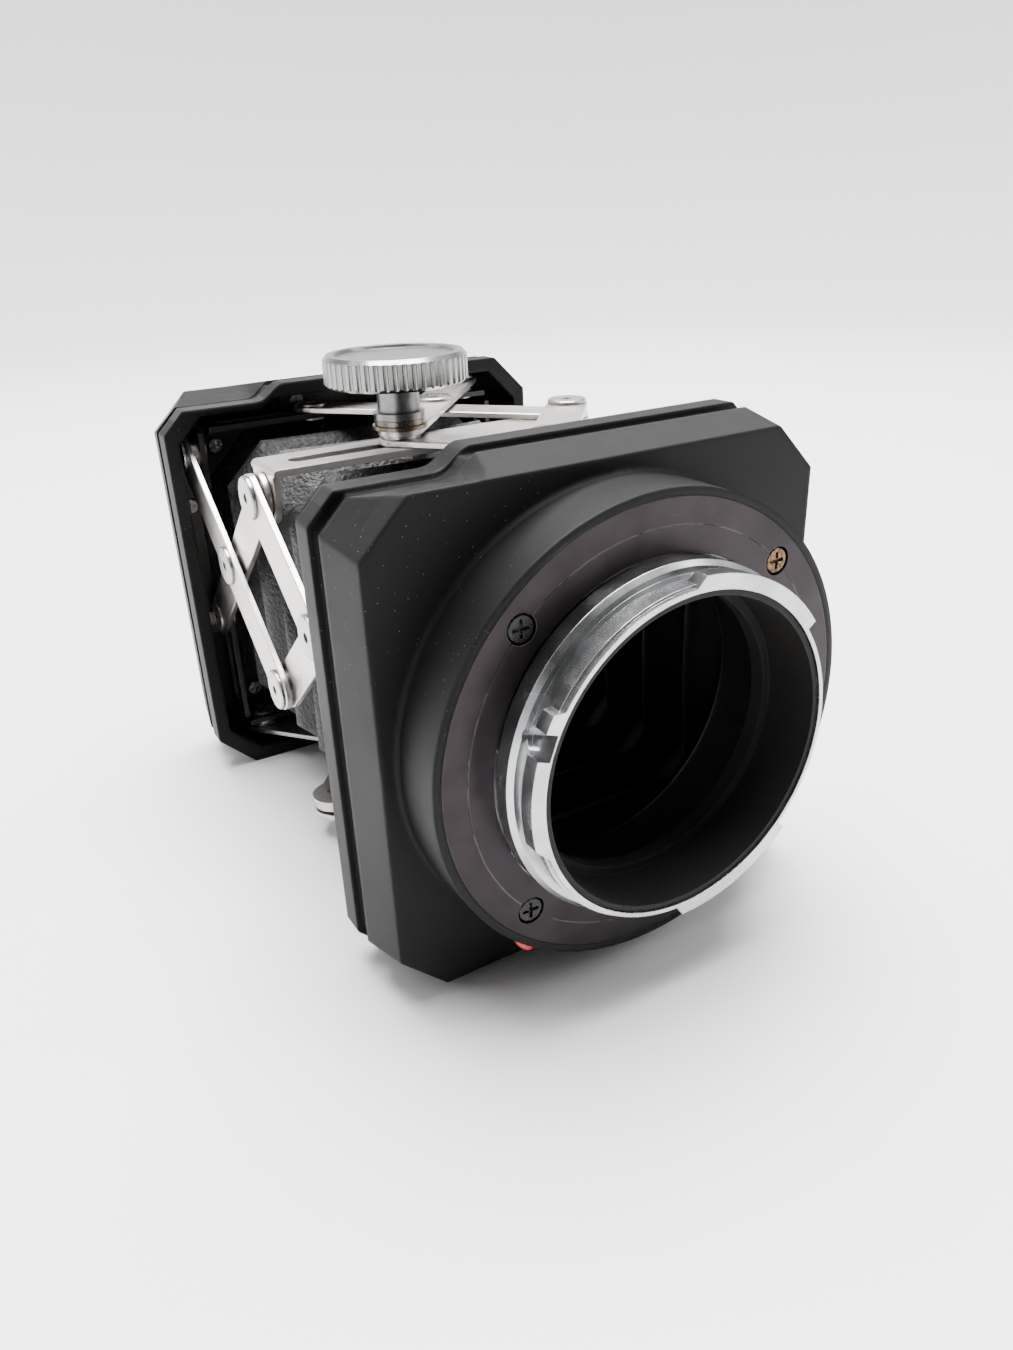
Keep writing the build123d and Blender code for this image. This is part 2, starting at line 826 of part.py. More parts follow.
with BuildPart() as lens_index_dot:
    with BuildSketch(across(lens_face)):
        with Locations(lens_index_place):
            Circle(lens_index_radius)
    extrude(amount=-lens_index_thickness)
save(lens_index_dot, "lens_index_dot")

with BuildPart() as lens_bellows_frame:
    add(frame.part.mirror(mirror_plane))
save(lens_bellows_frame, "lens_bellows_frame")
with BuildPart() as lens_frame_screws:
    add([screw.mirror(mirror_plane) for screw in frame_screws])
save(lens_frame_screws, "lens_frame_screws")
with BuildPart() as lens_guides:
    add([piece.mirror(mirror_plane) for piece in guides])
save(lens_guides, "lens_guides")
with BuildPart() as lens_guide_screws:
    add([screw.mirror(mirror_plane) for screw in guide_screws])
save(lens_guide_screws, "lens_guide_screws")

# ---------------------------------------------------------------- struts


def link(side, level, start, end, holes):
    """A flat link with round ends; holes lists (place along the link, radius)."""
    (x0, y0), (x1, y1) = start, end
    centre = ((x0 + x1) / 2, (y0 + y1) / 2)
    angle = degrees(atan2(y1 - y0, x1 - x0))
    with BuildPart() as piece:
        with BuildSketch(side.offset(level)):
            with Locations(centre):
                SlotCenterToCenter(link_pitch, link_width, rotation=angle)
            for place, radius in holes:
                with Locations((x0 + (x1 - x0) * place, y0 + (y1 - y0) * place)):
                    Circle(radius, mode=Mode.SUBTRACT)
        extrude(amount=link_thickness)
        outer = piece.faces().sort_by(Axis(side.origin, side.z_dir))[-1]
        chamfer(outer.outer_wire().edges(), length=link_chamfer)
    return piece


fixed = pin_radius + press
loose = pin_radius + running
head_from = outer_face + gap
collar_from = inner_face + gap
collar_to = outer_level - gap
stud_end = strip_level - gap - tail_length

for side_name, side in sides.items():
    front_top = (pivot_offset, camera_pivot)
    front_low = (low_offset, camera_pivot)
    mid_top = (pivot_offset, middle)
    mid_low = (low_offset, middle)
    rear_top = (pivot_offset, lens_pivot)
    rear_low = (low_offset, lens_pivot)
    front_cross = ((pivot_offset + low_offset) / 2, (camera_pivot + middle) / 2)
    rear_cross = ((pivot_offset + low_offset) / 2, (lens_pivot + middle) / 2)
    knob_side = side_name == "top"
    mid_hole = stud_radius + running if knob_side else loose
    mid_seat = stud_radius + press if knob_side else fixed

    link_1 = link(side, outer_level, mid_top, front_low, [(0, loose), (0.5, fixed), (1, fixed)])
    save(link_1, f"{side_name}_link_1")
    link_2 = link(side, outer_level, mid_low, rear_top, [(0, mid_hole), (0.5, fixed), (1, loose)])
    save(link_2, f"{side_name}_link_2")
    link_3 = link(side, inner_level, mid_top, rear_low, [(0, loose), (0.5, loose), (1, fixed)])
    link_4 = link(side, inner_level, front_top, mid_low, [(0, loose), (0.5, loose), (1, mid_seat)])
    save(link_4, f"{side_name}_link_4")

    # link 3 carries its own sliding stud
    rear_stud = turned(
        side,
        rear_low,
        [
            (stud_end, strip_level - gap, tail_radius),
            (strip_level - gap, inner_face, pin_radius),
            (inner_face, inner_face + rear_head_thickness, rear_head_radius),
        ],
        dimple=True,
    )
    with BuildPart() as link_3_with_stud:
        add(link_3.part)
        add(rear_stud)
    save(link_3_with_stud, f"{side_name}_link_3")

    # riveted in link 1: the front cross pin and the front sliding stud
    cross_pin = turned(
        side,
        front_cross,
        [
            (inner_level, outer_face, pin_radius),
            (collar_from, collar_to + gap, collar_radius),
            (outer_face, outer_face + head_thickness, head_radius),
        ],
        dimple=True,
    )
    front_stud = turned(
        side,
        front_low,
        [
            (stud_end, strip_level - gap, tail_radius),
            (strip_level - gap, outer_face, pin_radius),
            (guide_level + guide_thickness + gap, outer_level, tail_radius),
        ],
    )
    with BuildPart() as link_1_pins:
        add([cross_pin, front_stud])
    save(link_1_pins, f"{side_name}_link_1_pins")

    # riveted in link 2: the rear cross pin
    rear_pin = turned(
        side,
        rear_cross,
        [
            (inner_level, outer_face, pin_radius),
            (collar_from, collar_to + gap, collar_radius),
            (outer_face, outer_face + head_thickness, head_radius),
        ],
        dimple=True,
    )
    with BuildPart() as link_2_pin:
        add(rear_pin)
    save(link_2_pin, f"{side_name}_link_2_pin")

    # riveted in link 4: the middle pin; on the top strut the knob's stud takes its place
    if not knob_side:
        middle_pin = turned(
            side,
            mid_low,
            [
                (inner_level, head_from, pin_radius),
                (inner_face, collar_to, wide_collar_radius),
                (head_from, head_from + head_thickness, head_radius),
            ],
            dimple=True,
        )
        with BuildPart() as link_4_pin:
            add(middle_pin)
        save(link_4_pin, f"{side_name}_link_4_pin")

# fixed pivots of both standards, riveted in the guides
camera_pivots = [
    turned(
        side,
        (pivot_offset, camera_pivot),
        [
            (strip_level - pivot_foot_depth, guide_level, pivot_foot_radius),
            (guide_level, inner_face + gap, pin_radius),
            (inner_face + gap, inner_face + gap + head_thickness, head_radius),
        ],
        dimple=True,
    )
    for side in sides.values()
]
lens_pivots = [
    turned(
        side,
        (pivot_offset, lens_pivot),
        [
            (strip_level - pivot_foot_depth, guide_level, pivot_foot_radius),
            (guide_level, head_from, pin_radius),
            (guide_level + guide_thickness, collar_to, pivot_collar_radius),
            (head_from, head_from + head_thickness, head_radius),
        ],
        dimple=True,
    )
    for side in sides.values()
]
with BuildPart() as camera_pivot_pins:
    add(camera_pivots)
save(camera_pivot_pins, "camera_pivot_pins")
with BuildPart() as lens_pivot_pins:
    add(lens_pivots)
save(lens_pivot_pins, "lens_pivot_pins")

# ---------------------------------------------------------------- mid brackets
# Each is a slotted strip across one side, with a tab bent down at the side before it.
strip_slot_end = lowest_offset - stud_radius - slot_run
strip_slot_start = low_offset + stud_radius + slot_end_inner


def bracket(strip_side, tab_side, slotted):
    """An angle of strip: a long arm on one side, a short tab round the corner on the next."""
    outer = strip_level + strip_thickness
    taper_from = pivot_offset - strip_taper
    with BuildPart() as piece:
        with BuildSketch(strip_side.offset(strip_level)):
            with Locations(((taper_from - outer) / 2, middle)):
                Rectangle(taper_from + outer, strip_width)
            with BuildLine():
                Polyline(
                    (taper_from, middle + strip_width / 2),
                    (pivot_offset, middle + strip_end_radius),
                    (pivot_offset, middle - strip_end_radius),
                    (taper_from, middle - strip_width / 2),
                    close=True,
                )
            make_face()
            with Locations((pivot_offset, middle)):
                Circle(strip_end_radius)
            with Locations((pivot_offset, middle)):
                Circle(fixed, mode=Mode.SUBTRACT)
            if slotted:
                with Locations(((strip_slot_start + strip_slot_end) / 2, middle)):
                    SlotOverall(strip_slot_start - strip_slot_end, slot_width, mode=Mode.SUBTRACT)
        extrude(amount=strip_thickness)
        with BuildSketch(tab_side.offset(strip_level)):
            with Locations(((pivot_offset + outer) / 2, middle)):
                Rectangle(outer - pivot_offset, tab_width)
            with Locations((pivot_offset, middle)):
                Circle(tab_width / 2)
            with Locations((pivot_offset, middle)):
                Circle(fixed, mode=Mode.SUBTRACT)
        extrude(amount=strip_thickness)
        bend = piece.edges().filter_by(Axis.Y).sort_by(
            lambda e: (e.center() - strip_side.origin).dot(strip_side.z_dir + tab_side.z_dir)
        )[-1]
        fillet(bend, radius=bend_radius)
    return piece


top_bracket = bracket(sides["top"], sides["left"], True)
save(top_bracket, "top_bracket")
bottom_bracket = bracket(sides["bottom"], sides["right"], False)
save(bottom_bracket, "bottom_bracket")


def bracket_rivet(side):
    """The rivet that hangs the middle of two struts on a bracket."""
    return turned(
        side,
        (pivot_offset, middle),
        [
            (strip_level, head_from, pin_radius),
            (collar_from, collar_to, collar_radius),
            (head_from, head_from + head_thickness, head_radius),
        ],
        dimple=True,
    )


top_rivets = [bracket_rivet(sides["left"]), bracket_rivet(sides["top"])]
bottom_rivets = [bracket_rivet(sides["right"]), bracket_rivet(sides["bottom"])]
with BuildPart() as top_bracket_rivets:
    add(top_rivets)
save(top_bracket_rivets, "top_bracket_rivets")
with BuildPart() as bottom_bracket_rivets:
    add(bottom_rivets)
save(bottom_bracket_rivets, "bottom_bracket_rivets")

# ---------------------------------------------------------------- clamp knob
top = sides["top"]
knob_place = (low_offset, middle)
stud = turned(
    top,
    knob_place,
    [
        (strip_level - gap, knob_level + stud_in_knob, stud_radius),
        (inner_face, collar_to, wide_collar_radius),
    ],
)
with BuildPart() as knob_stud:
    add(stud)
save(knob_stud, "knob_stud")

with BuildPart() as clamp_nut:
    with BuildSketch(top.offset(strip_level - gap)):
        with Locations(knob_place):
            RegularPolygon(nut_size, 4, major_radius=True)
    extrude(amount=-nut_thickness)
save(clamp_nut, "clamp_nut")

washer_level = outer_face + gap
upper_washer_level = washer_level + washer_thickness + gap
with BuildPart() as knob_washers:
    with BuildSketch(top.offset(washer_level)):
        with Locations(knob_place):
            Circle(washer_radius)
            Circle(stud_radius + clear, mode=Mode.SUBTRACT)
    extrude(amount=washer_thickness)
    with BuildSketch(top.offset(upper_washer_level)):
        with Locations(knob_place):
            Circle(upper_washer_radius)
            Circle(stud_radius + clear, mode=Mode.SUBTRACT)
    extrude(amount=upper_washer_thickness)
save(knob_washers, "knob_washers")

stem_level = upper_washer_level + upper_washer_thickness + gap
with BuildPart() as knob:
    with BuildSketch(top.offset(knob_level)):
        with Locations(knob_place):
            Circle(knob_radius)
    extrude(amount=knob_thickness)
    rims = knob.edges().filter_by(GeomType.CIRCLE).sort_by(Axis.Z)
    chamfer(rims[-1], length=knob_chamfer)
    chamfer(rims[0], length=knob_lower_chamfer)
    with BuildSketch(top.offset(knob_level)):
        with Locations(knob_place):
            with PolarLocations(knob_radius + knurl_offset, knob_teeth):
                Circle(knurl_radius)
    extrude(amount=knob_thickness - knob_chamfer, mode=Mode.SUBTRACT)
    with BuildSketch(top.offset(knob_level + knob_thickness)):
        with Locations(knob_place):
            Circle(knob_radius - knob_lip)
    extrude(amount=-knob_dish, taper=dish_taper, mode=Mode.SUBTRACT)
    with BuildSketch(top.offset(stem_level)):
        with Locations(knob_place):
            Circle(stem_radius)
    extrude(amount=knob_level - stem_level)
    with BuildSketch(top.offset(stem_level)):
        with Locations(knob_place):
            Circle(stem_foot_radius)
    extrude(amount=stem_foot_height)
    with BuildSketch(top.offset(stem_level)):
        with Locations(knob_place):
            Circle(stud_radius + running)
    extrude(amount=knob_level + stud_in_knob + gap - stem_level, mode=Mode.SUBTRACT)
save(knob, "knob")

# ---------------------------------------------------------------- bellows
bellows_start = camera_face + web + frame_thickness
bellows_end = lens_face - web - frame_thickness


def pleated(grow):
    """The pleated outline as one solid, with every section grown by the given amount."""
    with BuildPart() as solid:
        for fold in range(2 * pleats + 1):
            y = bellows_start + (bellows_end - bellows_start) * fold / (2 * pleats)
            size = bellows_size if fold % 2 == 0 else valley_size
            outline = octagon(size + 2 * grow, bellows_corner, pleat_edge)
            with BuildSketch(across(y)):
                add(outline)
        loft(ruled=True)
    return solid.part


outside = pleated(0)
inside = pleated(-bellows_skin)
with BuildPart() as bellows:
    add(outside)
    add(inside, mode=Mode.SUBTRACT)
save(bellows, "bellows")
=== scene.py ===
import json
import math
import random

import bmesh
import bpy
from mathutils import Matrix, Vector


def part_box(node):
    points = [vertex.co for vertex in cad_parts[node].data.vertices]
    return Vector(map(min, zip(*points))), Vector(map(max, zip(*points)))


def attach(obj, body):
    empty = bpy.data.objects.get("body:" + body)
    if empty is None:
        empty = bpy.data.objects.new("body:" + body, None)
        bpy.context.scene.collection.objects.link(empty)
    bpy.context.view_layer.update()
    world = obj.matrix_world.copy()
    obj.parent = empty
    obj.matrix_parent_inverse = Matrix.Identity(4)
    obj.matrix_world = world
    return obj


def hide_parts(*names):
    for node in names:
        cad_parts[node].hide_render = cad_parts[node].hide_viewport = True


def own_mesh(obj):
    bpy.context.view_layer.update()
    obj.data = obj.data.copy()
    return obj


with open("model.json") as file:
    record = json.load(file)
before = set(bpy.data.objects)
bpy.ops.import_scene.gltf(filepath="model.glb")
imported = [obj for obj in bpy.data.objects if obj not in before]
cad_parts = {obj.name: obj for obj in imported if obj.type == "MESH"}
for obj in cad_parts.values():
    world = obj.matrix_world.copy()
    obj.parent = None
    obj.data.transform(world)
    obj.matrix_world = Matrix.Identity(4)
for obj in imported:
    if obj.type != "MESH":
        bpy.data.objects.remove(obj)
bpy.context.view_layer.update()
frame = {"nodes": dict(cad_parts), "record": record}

# A macro extension bellows on a white sweep: two painted standards, four scissor struts,
# a knurled clamp knob, a chromed bayonet and a pleated leatherette bellows.
# The part's own frame, in metres: X to the right, -Y towards the camera body, Z up.

nodes = frame["nodes"]
MM = 0.001
AXIS_HEIGHT = 35 * MM
WEB = 3.0 * MM                      # the wall of each standard behind its face
CAMERA_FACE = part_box("camera_bellows_frame")[0].y - WEB
LENS_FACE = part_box("lens_bellows_frame")[1].y + WEB
MIDDLE = (CAMERA_FACE + LENS_FACE) / 2
knob_low, knob_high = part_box("knob")
KNOB_X = (knob_low.x + knob_high.x) / 2
KNOB_RADIUS = (knob_high.x - knob_low.x) / 2

# Places that the materials need, in millimetres.
AXIS_MM = AXIS_HEIGHT / MM
MIDDLE_MM = MIDDLE / MM
TRAY_FLOOR = ((LENS_FACE - CAMERA_FACE) / 2 - WEB) / MM + 0.1  # a little past it, from the middle
TRAY_HALF_WIDTH = 32.85             # of the hollow in each tray
LINE_RADIUS = 26.9                  # the line turned into the flange ring
PAINTED_LIGHT_SIDE = (KNOB_RADIUS / MM - 0.75, KNOB_RADIUS / MM - 0.55)  # radii in mm over which the knob's side fades to its painted lighter tone and lower roughness
BARE_SCREW = (10.0, 45.0)           # the screw beyond this x and z has lost its blacking
SCUFFED_RIDGE = (24.8, 26.0)        # from the axis, where the pleats' scuffs begin and are full
DUST_ACROSS = (6.0, -22.0)          # x where the dust begins and where it is thickest
DUST_UP = (22.0, 58.0)              # the same for z


# ---------------------------------------------------------------- node helpers
class Graph:
    """The node tree of a material or a world, with short calls that return a node's output."""

    def __init__(self, name, kind="materials"):
        self.owner = getattr(bpy.data, kind).new(name)
        self.owner.use_nodes = True
        self.tree = self.owner.node_tree
        ends = ("BSDF_PRINCIPLED", "BACKGROUND")
        self.shader = next(n for n in self.tree.nodes if n.type in ends)

    def node(self, kind, inputs=None, **settings):
        made = self.tree.nodes.new(kind)
        for key, value in settings.items():
            setattr(made, key, value)
        for key, value in (inputs or {}).items():
            self.link(value, made.inputs[key])
        return made

    def link(self, value, socket):
        if isinstance(value, bpy.types.NodeSocket):
            self.tree.links.new(value, socket)
        else:
            socket.default_value = value

    def vector(self, operation, one, other):
        """A vector operation; the scale of SCALE is its second value."""
        second = "Scale" if operation == "SCALE" else 1
        return self.node("ShaderNodeVectorMath", {0: one, second: other}, operation=operation)

    def combined(self, *values):
        """A vector from up to three single values."""
        return self.node("ShaderNodeCombineXYZ", dict(enumerate(values))).outputs[0]

    def place(self):
        """The place on the object in millimetres, in the part's frame at rest."""
        if not hasattr(self, "_place"):
            coords = self.node("ShaderNodeTexCoord").outputs["Object"]
            self._place = self.vector("SCALE", coords, 1 / MM).outputs["Vector"]
        return self._place

    def apart(self):
        """The same place as separate x, y and z."""
        if not hasattr(self, "_apart"):
            self._apart = tuple(self.node("ShaderNodeSeparateXYZ", {0: self.place()}).outputs)
        return self._apart

    def stretched(self, x, y, z):
        return self.vector("MULTIPLY", self.place(), (x, y, z)).outputs["Vector"]

    def noise(self, scale, detail=3.0, vector=None, rough=0.55):
        where = vector or self.place()
        inputs = {"Vector": where, "Scale": scale, "Detail": detail, "Roughness": rough}
        return self.node("ShaderNodeTexNoise", inputs).outputs["Fac"]

    def math(self, operation, *values):
        return self.node("ShaderNodeMath", dict(enumerate(values)), operation=operation).outputs[0]

    def times(self, one, other):
        return self.math("MULTIPLY", one, other)

    def off(self, value, centre):
        """How far a value is from a centre, with its sign."""
        return self.math("SUBTRACT", value, centre)

    def gap(self, value, centre):
        """How far a value is from a centre, without its sign."""
        return self.math("ABSOLUTE", self.off(value, centre))

    def length(self, one, other):
        """The length of the diagonal of two values."""
        squares = self.math("ADD", self.times(one, one), self.times(other, other))
        return self.math("SQRT", squares)

    def remap(self, value, low, high, to_low=0.0, to_high=1.0, smooth=False):
        inputs = {"Value": value, "From Min": low, "From Max": high}
        inputs.update({"To Min": to_low, "To Max": to_high})
        curve = "SMOOTHSTEP" if smooth else "LINEAR"
        return self.node("ShaderNodeMapRange", inputs, interpolation_type=curve).outputs["Result"]

    def mix(self, factor, one, other):
        made = self.node("ShaderNodeMix", data_type="RGBA")
        for socket, value in (("Factor", factor), ("A", one), ("B", other)):
            self.link(value, next(s for s in made.inputs if s.name == socket and s.enabled))
        return next(s for s in made.outputs if s.enabled)

    def bump(self, height, strength, distance, normal=None):
        """A bump whose distance is in millimetres."""
        inputs = {"Height": height, "Strength": strength, "Distance": distance * MM}
        if normal is not None:
            inputs["Normal"] = normal
        return self.node("ShaderNodeBump", inputs).outputs["Normal"]

    def rounded(self, radius):
        """The surface normal with its edges rounded by a radius in millimetres."""
        return self.node("ShaderNodeBevel", {"Radius": radius * MM}, samples=4).outputs["Normal"]

    def edge_mask(self, radius, low, high):
        """1 along convex or concave edges and 0 on open surfaces."""
        soft = self.rounded(radius)
        sharp = self.node("ShaderNodeNewGeometry").outputs["Normal"]
        along = self.vector("DOT_PRODUCT", soft, sharp).outputs["Value"]
        return self.remap(along, high, low)

    def axis_radius(self):
        """The distance from the optical axis in millimetres."""
        x, _, z = self.apart()
        return self.length(x, self.off(z, AXIS_MM))

    def crevice(self, distance, low, high):
        """1 deep in corners and crevices within a distance in millimetres, 0 in the open."""
        inputs = {"Distance": distance * MM}
        open_sky = self.node("ShaderNodeAmbientOcclusion", inputs, samples=6).outputs["AO"]
        return self.remap(open_sky, high, low)

    def set(self, **inputs):
        """Fill in the shader's inputs by their short names and return the material."""
        names = {
            "color": "Base Color",
            "metal": "Metallic",
            "rough": "Roughness",
            "normal": "Normal",
            "specular": "Specular IOR Level",
            "coat": "Coat Weight",
            "anisotropy": "Anisotropic",
            "tangent": "Tangent",
            "sheen": "Sheen Weight",
            "sheen_rough": "Sheen Roughness",
        }
        for key, value in inputs.items():
            self.link(value, self.shader.inputs[names[key]])
        return self.owner


def grey(value, warm=0.0):
    """A grey, a little warmer or cooler, as an RGBA colour."""
    return (value * (1 + warm), value, value * (1 - warm), 1.0)


# ---------------------------------------------------------------- materials
def satin_paint():
    """Satin black paint, lighter on its edges as rubbed wear with a painted highlight, dusty on
    its upper left, glossier in the trays.
    """
    g = Graph("satin_black_paint")
    grain = g.noise(9.0, 2.0)
    cloud = g.noise(0.09, 3.0)
    # lighter edges: rubbed wear in patches, and partly a painted highlight along the rounded edges
    lit_worn_edges = g.edge_mask(0.35, 0.80, 0.985)
    patchy = g.remap(g.noise(0.35, 4.0), 0.42, 0.70)
    rubbed = g.times(lit_worn_edges, patchy)
    base = g.mix(cloud, (0.0028, 0.0028, 0.0029, 1), (0.0048, 0.0047, 0.0047, 1))
    worn = g.mix(g.times(rubbed, 0.5), base, (0.035, 0.034, 0.033, 1))
    # sparse pale specks of dust
    cell = g.node("ShaderNodeTexVoronoi", {"Vector": g.place(), "Scale": 1.15, "Randomness": 1.0})
    speck = g.remap(cell.outputs["Distance"], 0.03, 0.075, 1.0, 0.0)
    x, y, z = g.apart()
    region = g.times(g.remap(x, *DUST_ACROSS), g.remap(z, *DUST_UP))
    dusty = g.math("GREATER_THAN", g.times(region, 0.8), g.noise(0.45, 2.0))
    dust = g.times(speck, g.times(dusty, g.remap(region, 0.0, 0.6)))
    color = g.mix(g.times(dust, 0.65), worn, (0.34, 0.33, 0.315, 1))
    # the hollow side of each tray
    across = g.math("LESS_THAN", g.math("ABSOLUTE", x), TRAY_HALF_WIDTH)
    upright = g.math("LESS_THAN", g.gap(z, AXIS_MM), TRAY_HALF_WIDTH)
    between = g.math("LESS_THAN", g.gap(y, MIDDLE_MM), TRAY_FLOOR)
    hollow = g.times(g.times(across, upright), between)
    rough = g.remap(cloud, 0.3, 0.7, 0.49, 0.56)
    rough = g.math("SUBTRACT", rough, g.times(hollow, 0.14))
    normal = g.bump(grain, 0.22, 0.05, g.rounded(0.8))
    return g.set(color=color, rough=rough, normal=normal, specular=0.135)


def anodised():
    """Dark purple anodising over turned rings, with one broken pale line and fine scratches."""
    g = Graph("dark_anodised")
    radius = g.axis_radius()
    rings = g.noise(1.0, 4.0, g.combined(g.times(radius, 9.0)))
    blotch = g.remap(g.noise(0.16, 3.0), 0.35, 0.65)
    base = g.mix(blotch, (0.0155, 0.0118, 0.0136, 1), (0.0250, 0.0196, 0.0222, 1))
    line = g.remap(g.gap(radius, LINE_RADIUS), 0.05, 0.11, 1.0, 0.0)
    broken = g.remap(g.noise(0.22, 2.0), 0.47, 0.53)
    color = g.mix(g.times(line, broken), base, (0.11, 0.094, 0.098, 1))
    # the scratches run round the ring
    turned = g.combined(g.times(radius, 5.0), g.times(g.apart()[0], 0.10))
    scratch = g.remap(g.noise(1.0, 2.0, turned), 0.70, 0.74)
    color = g.mix(g.times(scratch, 0.35), color, (0.11, 0.09, 0.095, 1))
    rim = g.edge_mask(0.2, 0.85, 0.99)
    color = g.mix(g.times(rim, 0.4), color, (0.10, 0.09, 0.09, 1))
    rough = g.remap(rings, 0.3, 0.7, 0.30, 0.42)
    tangent = g.node("ShaderNodeTangent", direction_type="RADIAL", axis="Y").outputs[0]
    normal = g.bump(rings, 0.10, 0.02, g.rounded(0.15))
    return g.set(
        color=color, metal=0.82, rough=rough, anisotropy=0.45, tangent=tangent, normal=normal
    )


def plated(name, tone, warm, rough, tarnish, stain=(0.20, 0.18, 0.15, 1)):
    """Bright plated or polished metal with smudges, hairline scratches and a little tarnish."""
    g = Graph(name)
    smudge = g.noise(0.32, 5.0)
    fine = g.noise(14.0, 2.0, g.stretched(1.0, 0.15, 1.0))
    hair = g.remap(g.noise(3.0, 1.0, g.stretched(0.12, 1.0, 1.7)), 0.68, 0.70)
    dull = g.remap(g.noise(0.55, 6.0), 0.52, 0.72)
    color = g.mix(g.times(dull, tarnish), grey(tone, warm), stain)
    color = g.mix(g.times(hair, 0.25), color, grey(tone * 0.55, warm))
    rough = g.math("ADD", g.remap(smudge, 0.3, 0.7, *rough), g.times(dull, 0.15))
    normal = g.bump(fine, 0.06, 0.02, g.rounded(0.12))
    return g.set(color=color, metal=1.0, rough=rough, normal=normal)


def turned_chrome():
    """Bright plating over turned metal: faint rings, soft smudges and a few fine scratches."""
    g = Graph("chrome")
    turned = g.combined(g.times(g.axis_radius(), 5.0), g.times(g.apart()[1], 5.0))
    rings = g.noise(1.0, 3.0, turned)
    smudge = g.noise(0.28, 4.0)
    hair = g.remap(g.noise(2.4, 1.0, g.stretched(0.10, 1.2, 1.5)), 0.70, 0.72)
    stain = g.times(g.remap(g.noise(0.16, 5.0), 0.52, 0.70), 0.30)
    color = g.mix(g.remap(smudge, 0.35, 0.65), grey(0.38, -0.018), grey(0.50, -0.018))
    color = g.mix(g.times(hair, 0.18), color, grey(0.34))
    color = g.mix(stain, color, grey(0.24, 0.02))
    rough = g.math("ADD", g.remap(smudge, 0.3, 0.7, 0.20, 0.27), g.times(stain, 0.2))
    normal = g.bump(rings, 0.03, 0.02, g.rounded(0.12))
    return g.set(color=color, metal=1.0, rough=rough, normal=normal)


def knob_metal():
    """Worn satin chrome, painted darker on top and lighter down its knurled side, with painted
    shade in its grooves.
    """
    g = Graph("knob_metal")
    x, y, _ = g.apart()
    radius = g.length(g.off(x, KNOB_X / MM), g.off(y, MIDDLE_MM))
    side = g.remap(radius, *PAINTED_LIGHT_SIDE)
    rings = g.noise(1.0, 3.0, g.combined(g.times(radius, 7.0)))
    cloud = g.remap(g.noise(0.35, 4.0), 0.35, 0.65)
    # painted light: the top takes a darker tone and the knurled side a lighter one, as shaded and
    # lit copies of the chrome
    color = g.mix(cloud, grey(0.16, 0.01), grey(0.23))
    color = g.mix(side, color, grey(0.30, 0.02))
    # painted shade: darkened where the AO node finds the grooves enclosed
    crevice_shade = g.times(g.crevice(0.9, 0.35, 0.85), 0.92)
    color = g.mix(crevice_shade, color, (0.014, 0.012, 0.010, 1))
    rough = g.math("ADD", g.remap(rings, 0.3, 0.7, 0.26, 0.34), g.times(cloud, 0.06))
    rough = g.math("SUBTRACT", rough, g.times(side, 0.14))
    normal = g.bump(rings, 0.10, 0.02, g.rounded(0.12))
    return g.set(color=color, metal=1.0, rough=rough, normal=normal)


def rivets():
    """Turned steel rivet heads, darkened in their dimples and round their rims by painted shade.
    """
    g = Graph("rivet_steel")
    smudge = g.noise(0.5, 4.0)
    fine = g.noise(9.0, 3.0)
    color = g.mix(g.remap(smudge, 0.35, 0.65), grey(0.34, 0.03), grey(0.46, 0.03))
    patchy = g.remap(g.noise(1.4, 3.0), 0.30, 0.55, 0.55, 1.0)
    # painted shade: darkened in patches where the AO node finds the dimple and rim enclosed
    dimple_shade = g.times(g.crevice(0.9, 0.30, 0.85), patchy)
    color = g.mix(dimple_shade, color, (0.030, 0.024, 0.019, 1))
    rough = g.math("ADD", g.remap(smudge, 0.3, 0.7, 0.20, 0.32), g.times(dimple_shade, 0.3))
    normal = g.bump(fine, 0.08, 0.02, g.rounded(0.15))
    return g.set(color=color, metal=1.0, rough=rough, normal=normal)


def blackened():
    """Blackened steel sheet, rubbed a little brighter along its edges."""
    g = Graph("guide_steel")
    fine = g.noise(7.0, 3.0)
    cloud = g.noise(0.3, 3.0)
    color = g.mix(cloud, (0.020, 0.019, 0.018, 1), (0.036, 0.034, 0.032, 1))
    patchy = g.remap(g.noise(0.9, 3.0), 0.4, 0.65)
    rubbed = g.times(g.edge_mask(0.18, 0.75, 0.97), patchy)
    color = g.mix(g.times(rubbed, 0.6), color, (0.16, 0.15, 0.14, 1))
    rough = g.remap(cloud, 0.3, 0.7, 0.30, 0.42)
    normal = g.bump(fine, 0.10, 0.02, g.rounded(0.12))
    return g.set(color=color, metal=0.8, rough=rough, normal=normal)


def brushed(name, tone, warm, along):
    """Satin nickel whose fine brushing runs the way that the scale leaves long."""
    g = Graph(name)
    lines = g.noise(6.0, 3.0, g.stretched(*along))
    cloud = g.noise(0.18, 4.0)
    patchy = g.remap(g.noise(0.8, 3.0), 0.35, 0.60, 0.4, 1.0)
    # painted shade: darkened in patches where the AO node finds corners and crevices enclosed
    crevice_shade = g.times(g.crevice(1.6, 0.35, 0.85), patchy)
    color = g.mix(g.remap(cloud, 0.3, 0.7), grey(tone * 0.88, warm), grey(tone, warm))
    color = g.mix(g.times(crevice_shade, 0.75), color, (0.060, 0.048, 0.038, 1))
    rough = g.remap(lines, 0.25, 0.75, 0.26, 0.40)
    normal = g.bump(lines, 0.12, 0.02, g.rounded(0.12))
    return g.set(color=color, metal=1.0, rough=rough, normal=normal)


